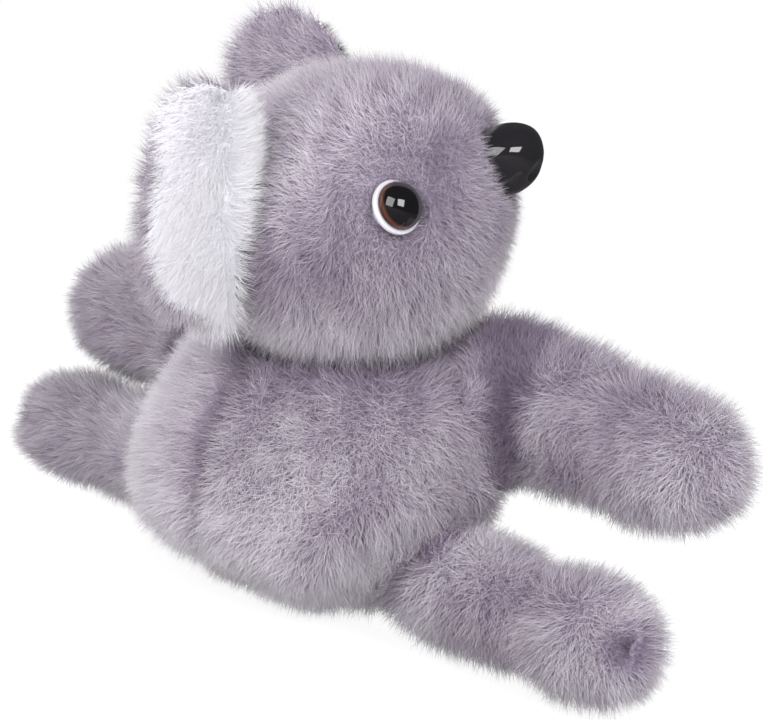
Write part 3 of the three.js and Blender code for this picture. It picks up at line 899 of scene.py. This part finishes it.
def head_shade(p, gap):
    """Painted light on the crown and the jaw, painted shade round the muzzle and on the cheeks."""
    here = local(p, head_frame)
    return (0.05 * step(here[:, 2], 8 * MM, 26 * MM) - 0.2 * step(here[:, 1], 10 * MM, 32 * MM)
            - 0.1 * bump(here[:, 2] + 4 * MM, 12 * MM) + 0.6 * bump(gap, 13 * MM))


def head_longer(p, gap):
    """Long at the jaw, short beside the nose and the eyes."""
    scale = 1 + 0.6 * bump(gap, 7 * MM) - 0.6 * bump(far_from(p, NOSE_SPOT), 19 * MM)
    for side in SIDES:
        scale *= 1 - 0.45 * bump(far_from(p, EYE_SPOTS[side]), 9 * MM)
    return scale


# %% Grow the grey fur
rng = np.random.default_rng(7)
furs = {}
NOSE_BARE, EYE_BARE = 10.5 * MM, 5.0 * MM


def grow(name, mesh, wanted, density, comb, length, lean, longer=None, shade=None, beyond=None, pale=0.62,
         stray=0.85, unruly=0.28, fine=0.082 * MM, **how):
    """Fur over part of a skin: so many hairs to the square millimetre, all but where eyes and nose sit."""
    root, normal = scatter(mesh, wanted, density, rng)
    bare = far_from(root, NOSE_SPOT) < NOSE_BARE
    for side in SIDES:
        bare |= far_from(root, EYE_SPOTS[side]) < EYE_BARE
    gap = beyond(root) if beyond else np.zeros(len(root))
    bare |= gap < -0.5 * MM
    root, normal, gap = root[~bare], normal[~bare], gap[~bare]
    count = len(root)
    long = length * rng.uniform(0.6, 1.2, count)
    if longer:
        long *= longer(root, gap)
    tilt = lean + 0.57 * unruly * waves(root, 13 * MM, 41) + rng.normal(0, unruly, count)
    tone_and_shade = pale + 0.17 * waves(root, 30 * MM, 51) + 0.14 * waves(root, 8 * MM, 52)
    tone_and_shade += rng.normal(0, 0.15, count)
    reach = np.ones(count)
    # Painted shade and light: hairs are made darker or paler by place, and in painted shade a hair keeps only
    # the darker part of its root-to-tip colours.
    if shade:
        tone_and_shade += shade(root, gap)
        reach = np.clip(1 + 0.85 * shade(root, gap), 0.35, 1)
    lie = turned_about(comb(root, normal), normal, rng.normal(0, stray, count))
    made = hair_mesh(name, root, normal, lie, long, np.clip(tilt, 0.05, 1.25), tone_and_shade, reach,
                     fine * rng.uniform(0.75, 1.25, count), rng, **how)
    furs[name] = made
    made.data.calc_loop_triangles()
    print(name, count, "hairs,", len(made.data.loop_triangles), "triangles")
    return made


for part, back, density in (("torso_back", True, 7.9), ("torso_belly", False, 4.5)):
    for side, sign in SIDES.items():
        grow(f"fur_{part}_{side}", body.data,
             lambda p, n: (limb_of(p) == 0) & ((n[:, 1] < 0.1) == back) & (sign * p[:, 0] > 0),
             density, torso_comb, 6.8 * MM, 0.7, shade=torso_shade, beyond=outside_head)
for side, sign in SIDES.items():
    grow(f"fur_head_{side}", head.data, lambda p, n: sign * (p - np.array(HEAD_CENTRE)) @ CHEEK > 0,
         6.3, head_comb, 6.4 * MM, 0.7, head_longer, head_shade, outside_body)
LIMB_PARTS = {"arm_root": 1, "arm_end": 2, "leg_root": 3, "leg_end": 4}
for part, comb, longer, shade, stray in (
        ("arm_root", limb_comb, None, arm_shade, 0.85), ("arm_end", limb_comb, None, arm_shade, 0.85),
        ("leg_root", limb_comb, None, leg_shade, 0.85), ("leg_end", foot_comb, foot_longer, foot_shade, 0.7)):
    for side, sign in SIDES.items():
        grow(f"fur_{part}_{side}", body.data,
             lambda p, n: (limb_of(p) == LIMB_PARTS[part]) & (sign * p[:, 0] > 0),
             8.0, comb, 6.6 * MM, 0.7, longer, shade, stray=stray)

# %% [markdown]
# ## Fur of the ears
# The white front is parted near the head: most of it lies outward, a narrow strip lies the other way. It
# is dense and even. The grey back is short and runs round the outer edge, where it shows as a fringe
# beside the white.

# %% Grow the ear fur
def ear_white(side, turn=None, margin=2.6 * MM):
    """Tells the white front of an ear from its grey back, which reaches a little way round the edge."""
    into, sign = ear_frame(side), SIDES[side]
    across, _, high = (local(points_of(ears[side].data), into) * [sign, 1, 1]).T
    levels = np.arange(high.min(), high.max(), 2 * MM)
    edge = [across[np.abs(high - level) < 2 * MM].max() for level in levels]
    usual, rim = (0.4, 1) if side == "right" else (0.6, 0.5)
    turn = turn or usual

    def white(p, n):
        here = local(p, into)
        outward = 0.35 + 0.16 * step(np.abs(here[:, 2]), 6 * MM, 18 * MM)
        outward *= step(sign * here[:, 0], 0, 6 * MM)
        inside = sign * here[:, 0] < np.interp(here[:, 2], levels, edge) - margin
        return inside & (n @ np.array(into.col[1])[:3] > turn + rim * outward)
    return white


def ear_axes(side):
    """An ear's frame, the sign of its side, and its ways outward and up."""
    into, sign = ear_frame(side), SIDES[side]
    return into, sign, sign * np.array(into.col[0])[:3], np.array(into.col[2])[:3]


def front_comb(side):
    into, sign, outward, up = ear_axes(side)

    def comb(p, n):
        here = local(p, into) * [sign, 1, 1]
        parting = -3.8 * MM - 0.5 * np.maximum(here[:, 2:3], 0) - 0.15 * np.minimum(here[:, 2:3], 0)
        way = np.tanh((here[:, :1] - parting) / (2 * MM))
        hang = 0.35 + 1.2 * step(-here[:, 2:3], 17 * MM, 27 * MM)
        flow = way * outward + hang * here[:, 2:3] / (29 * MM) * up
        return swirled(flow, p, n, (0.25, 12, 61)) * np.maximum(np.abs(way), 0.2)
    return comb


def rim_longer(side, more, hang):
    """Hairs grow longer or shorter towards the ear's outer edge, and longer below."""
    def longer(p, gap):
        here = local(p, ear_frame(side)) * [SIDES[side], 1, 1] / (np.array((18, 10, 29)) * MM)
        edge = np.clip((np.hypot(here[:, 0], here[:, 2]) - 0.6) / 0.4, 0, 1)
        outer = step(here[:, 0], -0.1, 0.4) if side == "right" else 1
        inner = step(-here[:, 0], 0, 0.3) * step(-here[:, 2], -0.4, -0.1) * (more > 0)
        return 1 + edge * (more * outer + hang * np.clip(-here[:, 2], 0, 1) ** 2) - 0.55 * inner
    return longer


def back_comb(side):
    into, _, outward, up = ear_axes(side)

    def comb(p, n):
        here = local(p, into)
        flow = 0.8 * outward + here[:, 2:3] / (29 * MM) * up
        return swirled(flow, p, n, (0.6, 14, 63), (0.4, 6, 64))
    return comb


EAR_BACK = {"right": {"pale": 0.6, "start": 0.22, "stray": 0.45, "unruly": 0.16, "even": 0.15},
            "left": {"pale": 0.58}}
for side in SIDES:
    white = ear_white(side)
    grow(f"fur_ear_front_{side}", ears[side].data, white, 15.0, front_comb(side), 6.4 * MM, 0.95,
         rim_longer(side, -0.52, 0.5), pale=0.75, stray=0.3, unruly=0.12, fine=0.06 * MM, gather=0.0,
         even=0.95)
    grow(f"fur_ear_back_{side}", ears[side].data, lambda p, n: ~white(p, n), 6.5, back_comb(side), 5.2 * MM,
         0.7, rim_longer(side, 0.2, 0.1), **EAR_BACK[side])

# %% [markdown]
# ## Cutting the skin at the joints
# The shoulder and the hip stretch as an arm or a leg curls. Each limb's skin is cut at the torso and in its
# stiff middle, into a root piece and an end piece.

# %% Cut the skin
def cut_out(region, name):
    """The faces of the body skin in a region, as a piece of their own."""
    select_by(body, "FACE", region)
    bpy.ops.mesh.separate(type="SELECTED")
    bpy.ops.object.mode_set(mode="OBJECT")
    return named(next(o for o in bpy.context.selected_objects if o != body), name)


skins = {}
for part in ("arm_end", "leg_end", "arm_root", "leg_root"):
    for side, sign in SIDES.items():
        skins[f"{part}_{side}"] = cut_out(lambda p: (limb_of(p) == LIMB_PARTS[part]) & (sign * p[:, 0] > 0),
                                          f"skin_{part}_{side}")
skins["torso"], skins["head"] = named(body, "skin_torso"), named(head, "skin_head")
for side in SIDES:
    skins[f"ear_{side}"] = named(ears[side], f"skin_ear_{side}")
for made in skins.values():
    edit_all(made)
    bpy.ops.mesh.fill_holes(sides=0)
    bpy.ops.mesh.select_all(action="DESELECT")
    bpy.ops.object.mode_set(mode="OBJECT")
print("skins:", {name: len(o.data.polygons) for name, o in skins.items()})

# %% [markdown]
# ## Fixing the pieces in place
# Torso, head and ears ride on the torso. The skin and fur of a limb stay where they are, with their
# placing baked into their points. Before that, the left arm and leg are posed as in the photograph,
# where they lie against each other.

# %% Attach skin and fur
STRETCHES = {  # the two bodies, where the bend starts and ends along X, and its place in Y and Z, in mm
    "arm_root": ("torso", "arm", 39.5, 54, 20, 58), "arm_end": ("arm", "paw", 62, 82, 20, 58),
    "leg_end": ("leg", "foot", 62, 80, 12, 18),
}
HIP_STRETCH = 0.5 * MM, 13 * MM  # from the seam along its tilt


def attach(piece, part, side):
    sign = SIDES.get(side)
    if part in STRETCHES:
        inner, outer, start, end, y, z = STRETCHES[part]
        inner = inner if inner == "torso" else f"{inner}_{side}"
        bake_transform(piece)
    elif part == "leg_root":
        (x, y, z), tilt = HIP_SEAM
        seam = Vector((sign * x * MM, y * MM, z * MM))
        way = Vector((sign * math.cos(tilt), 0, -math.sin(tilt)))
        start, end = (seam + far * way for far in HIP_STRETCH)
        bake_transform(piece)
    else:
        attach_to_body(piece, "torso")


ARM_DROP, LEG_LIFT, FOOT_OUT = 4.6, 4.4, 2.5  # in mm


def let_down(made, part, side):
    """The left arm droops a little and the left leg is lifted, as in the photograph."""
    if side != "left" or part[:3] not in ("arm", "leg"):
        return
    points = points_of(made.data)
    if part.startswith("arm"):
        top = step(points[:, 2], 58 * MM, 75 * MM)
        points[:, 2] -= step(-points[:, 0], 40 * MM, 60 * MM) * (1 - 0.6 * top) * ARM_DROP * MM
    else:
        end = step(-points[:, 0], 66 * MM, 105 * MM)
        points[:, 2] += step(-points[:, 0], 40 * MM, 54 * MM) * (1 - 0.7 * end) * LEG_LIFT * MM
        points[:, 2] += 0.3 * end * np.clip(18 * MM - points[:, 2], 0, None)
        points[:, 0] -= FOOT_OUT * MM * end
    set_points(made.data, points)


for name, made in skins.items():
    part, _, side = name.rpartition("_")
    let_down(made, part, side)
    made.data.materials.clear()
    made.data.materials.append(grey_backing)
    if part == "ear":
        made.data.materials.append(white_backing)
        middles, ways = (vectors_of(made.data.polygons, what) for what in ("center", "normal"))
        white = ear_white(side, 0.05, 1.2 * MM)(middles, ways)
        made.data.polygons.foreach_set("material_index", white.astype(np.int32))
    attach(made, part, side)
for name, made in furs.items():
    part, _, side = name.removeprefix("fur_").rpartition("_")
    white = part == "ear_front"
    let_down(made, part, side)
    made.data.materials.append(white_fur if white else grey_fur)
    attach(made, part, side)
print("attached:", len(skins), "skins and", len(furs), "furs")

# %% Stand for the CAD panels
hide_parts(*torso_nodes)
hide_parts(*head_nodes)
for side in SIDES:
    for inner, outer in (("arm", "paw"), ("leg", "foot")):
        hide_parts(f"{inner}_{side}_cover", f"{inner}_{side}_stuffing")
        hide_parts(f"{outer}_{side}_cover", f"{outer}_{side}_stuffing")
    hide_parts(f"ear_back_{side}", f"ear_front_{side}")
print("fur triangles in all:", sum(len(o.data.loop_triangles) for o in furs.values()))

# %% [markdown]
# ## Eyes
# A safety eye is a domed button on a shank with a white disc behind it. The dome is brown at the rim and
# black in the middle under a clear, hard gloss. A sphere is cut in half, flattened to the dome's height
# and closed underneath.

# %% Eye finishes
def button_material(name, frame_matrix, stops, reach, roughness=0.04):
    """Rings of colour round an axis, under a gloss."""
    made, tree, surface = new_material(name)
    place = added(tree, "TexCoord")
    inverse = frame_matrix.inverted()
    mapping = added(tree, "Mapping", {"Location": inverse.to_translation(), "Rotation": inverse.to_euler()})
    flat = added(tree, "VectorMath", {1: (1 / reach, 1 / reach, 0)}, operation="MULTIPLY")
    radius = added(tree, "VectorMath", operation="LENGTH")
    fleck = added(tree, "TexNoise", {"Scale": 700})
    wander = added(tree, "Math", {1: 0.03}, operation="MULTIPLY_ADD")
    rings = ramp(tree, stops)
    joined(tree, (place, "Object", mapping, "Vector"), (mapping, "Vector", flat, 0),
           (flat, "Vector", radius, 0), (place, "Object", fleck, "Vector"), (fleck, "Fac", wander, 0),
           (radius, "Value", wander, 2), (wander, 0, rings, "Fac"), (rings, "Color", surface, "Base Color"))
    with_inputs(surface, {"Roughness": roughness, "Coat Weight": 0.6, "Coat Roughness": 0.02})
    return made


white_plastic = button_material("eye_backing_white", head_frame,
                                [(0.0, (0.52, 0.51, 0.55)), (1.0, (0.56, 0.55, 0.59))], 0.1, roughness=0.3)
print("eye finish:", white_plastic.name)

# %% Model the eyes
def placed(made, name, frame_matrix, sharp=40):
    """Puts a new piece in its place and smooths all but its sharp edges."""
    made.data.transform(frame_matrix)
    bpy.ops.object.shade_smooth_by_angle(angle=math.radians(sharp))
    return named(made, name)


def set_in(made, finish, node):
    """Fixes a button to the head in place of its CAD solid."""
    made.data.materials.append(finish)
    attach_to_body(made, "torso")
    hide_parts(node)


def dome(name, radius, height, base, frame_matrix):
    deselect()
    bpy.ops.mesh.primitive_uv_sphere_add(segments=48, ring_count=24, radius=1)
    made = bpy.context.object
    edit_all(made)
    bpy.ops.mesh.bisect(plane_co=(0, 0, 0), plane_no=(0, 0, 1), clear_inner=True, use_fill=True)
    bpy.ops.mesh.select_all(action="SELECT")
    bpy.ops.transform.resize(value=(radius, radius, height), center_override=(0, 0, 0))
    bpy.ops.mesh.normals_make_consistent(inside=False)
    bpy.ops.object.mode_set(mode="OBJECT")
    modified(made, "BEVEL", width=0.25 * MM, segments=3, limit_method="ANGLE")
    return placed(made, name, frame_matrix @ Matrix.Translation((0, 0, base)))


def disc(name, radius, thickness, frame_matrix):
    deselect()
    bpy.ops.mesh.primitive_cylinder_add(vertices=64, radius=radius, depth=thickness)
    made = bpy.context.object
    edit_all(made)
    bpy.ops.mesh.bevel(offset=0.4 * MM, segments=4, affect="EDGES")
    bpy.ops.object.mode_set(mode="OBJECT")
    return placed(made, name, frame_matrix)


EYE_RADIUS, EYE_HEIGHT, EYE_BASE = 5.45 * MM, 4.7 * MM, 0.75 * MM
DISC_RADIUS, LOCK_RADIUS, DISC_THICK, LOCK_DEPTH = 6.15 * MM, 3.4 * MM, 1.2 * MM, 4 * MM
IRIS = [(0.0, (0.004, 0.004, 0.005)), (0.92, (0.005, 0.004, 0.005)), (0.945, (0.045, 0.016, 0.010)),
        (0.98, (0.085, 0.03, 0.018)), (1.0, (0.03, 0.012, 0.009))]
for side in SIDES:
    into = eye_frame(side)
    ball = dome(f"eye_dome_{side}", EYE_RADIUS, EYE_HEIGHT, EYE_BASE, into)
    ring = disc(f"eye_disc_{side}", DISC_RADIUS, DISC_THICK, into)
    washer = disc(f"eye_lock_{side}", LOCK_RADIUS, DISC_THICK, into @ Matrix.Translation((0, 0, -LOCK_DEPTH)))
    iris = button_material(f"eye_iris_{side}", into, IRIS, EYE_RADIUS)
    set_in(ball, iris, f"eye_{side}")
    set_in(ring, white_plastic, f"eye_backing_{side}")
    set_in(washer, white_plastic, f"eye_washer_{side}")
    print(ball.name, "at", [round(c, 4) for c in into.to_translation()])

# %% [markdown]
# ## Nose
# The nose is one moulded, polished piece: wide above, narrow below, flat in front, with two nostrils. A
# sphere is squared off, drawn in towards the chin and dented at the nostrils.

# %% Model the nose
NOSE_HALF, NOSTRIL_HALF = np.array((9, 11, 8)) * MM, np.array((2.0, 3.0, 1.7)) * MM
NOSTRIL_SPOT, NOSTRIL_DEEP = (3.4, 9.6, -4.2), 2.6  # in mm
NOSE_BACK = 0.3 * MM


def nose_piece():
    deselect()
    bpy.ops.mesh.primitive_uv_sphere_add(segments=64, ring_count=40, radius=1)
    made = bpy.context.object
    p = points_of(made.data)
    p = np.sign(p) * np.abs(p) ** 0.86
    p /= np.maximum(1, np.linalg.norm(p, axis=1, keepdims=True) * 0.94)
    p[:, 0] *= 1 + 0.16 * p[:, 2]
    p[:, 1] *= 1 + 0.10 * p[:, 2]
    p *= NOSE_HALF
    for sign in SIDES.values():
        spot = np.array(NOSTRIL_SPOT) * [sign, 1, 1] * MM
        near = np.exp(-(((p - spot) / NOSTRIL_HALF) ** 2).sum(1))
        p -= near[:, None] * np.array((0, 1, 0.1)) * NOSTRIL_DEEP * MM
    set_points(made.data, p)
    edit_all(made)
    bpy.ops.mesh.bisect(plane_co=(0, NOSE_BACK, 0), plane_no=(0, 1, 0), clear_inner=True, use_fill=True)
    bpy.ops.object.mode_set(mode="OBJECT")
    return placed(made, "nose_button", head_frame @ Matrix.Translation((0, 36.3 * MM, 0.9 * MM)), sharp=50)


nose = nose_piece()
gloss = button_material(
    "nose_gloss", head_frame, [(0.0, (0.006, 0.006, 0.007)), (1.0, (0.012, 0.011, 0.013))], 0.02)
set_in(nose, gloss, "nose")
print("nose:", [round(d / MM, 1) for d in nose.dimensions], "mm")

# %% [markdown]
# ## Parts inside
# The spring bands and the nose's locking washer stay as they are in the model. They get brushed steel and
# moulded plastic, so that they look right if the toy is opened up.

# %% Finish the hidden parts
SPECKS = {"Scale": 300}
steel = mottled_material("band_steel", (0.24, 0.25, 0.27), (0.42, 0.43, 0.45), SPECKS, (0.05, 1, 4),
                         Roughness=0.35, Metallic=1)[0]
moulded = mottled_material("washer_plastic", (0.62, 0.62, 0.59), (0.74, 0.74, 0.71), SPECKS, Roughness=0.5)[0]
for name, node in nodes.items():
    if "band" in name or "washer" in name:
        node.data.materials.clear()
        node.data.materials.append(steel if "band" in name else moulded)
print("inside:", sum("band" in n or "washer" in n for n in nodes), "pieces")

# %% Measure and finish
low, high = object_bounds()
print("visual", [round(c / MM, 1) for c in (*low, *high)])
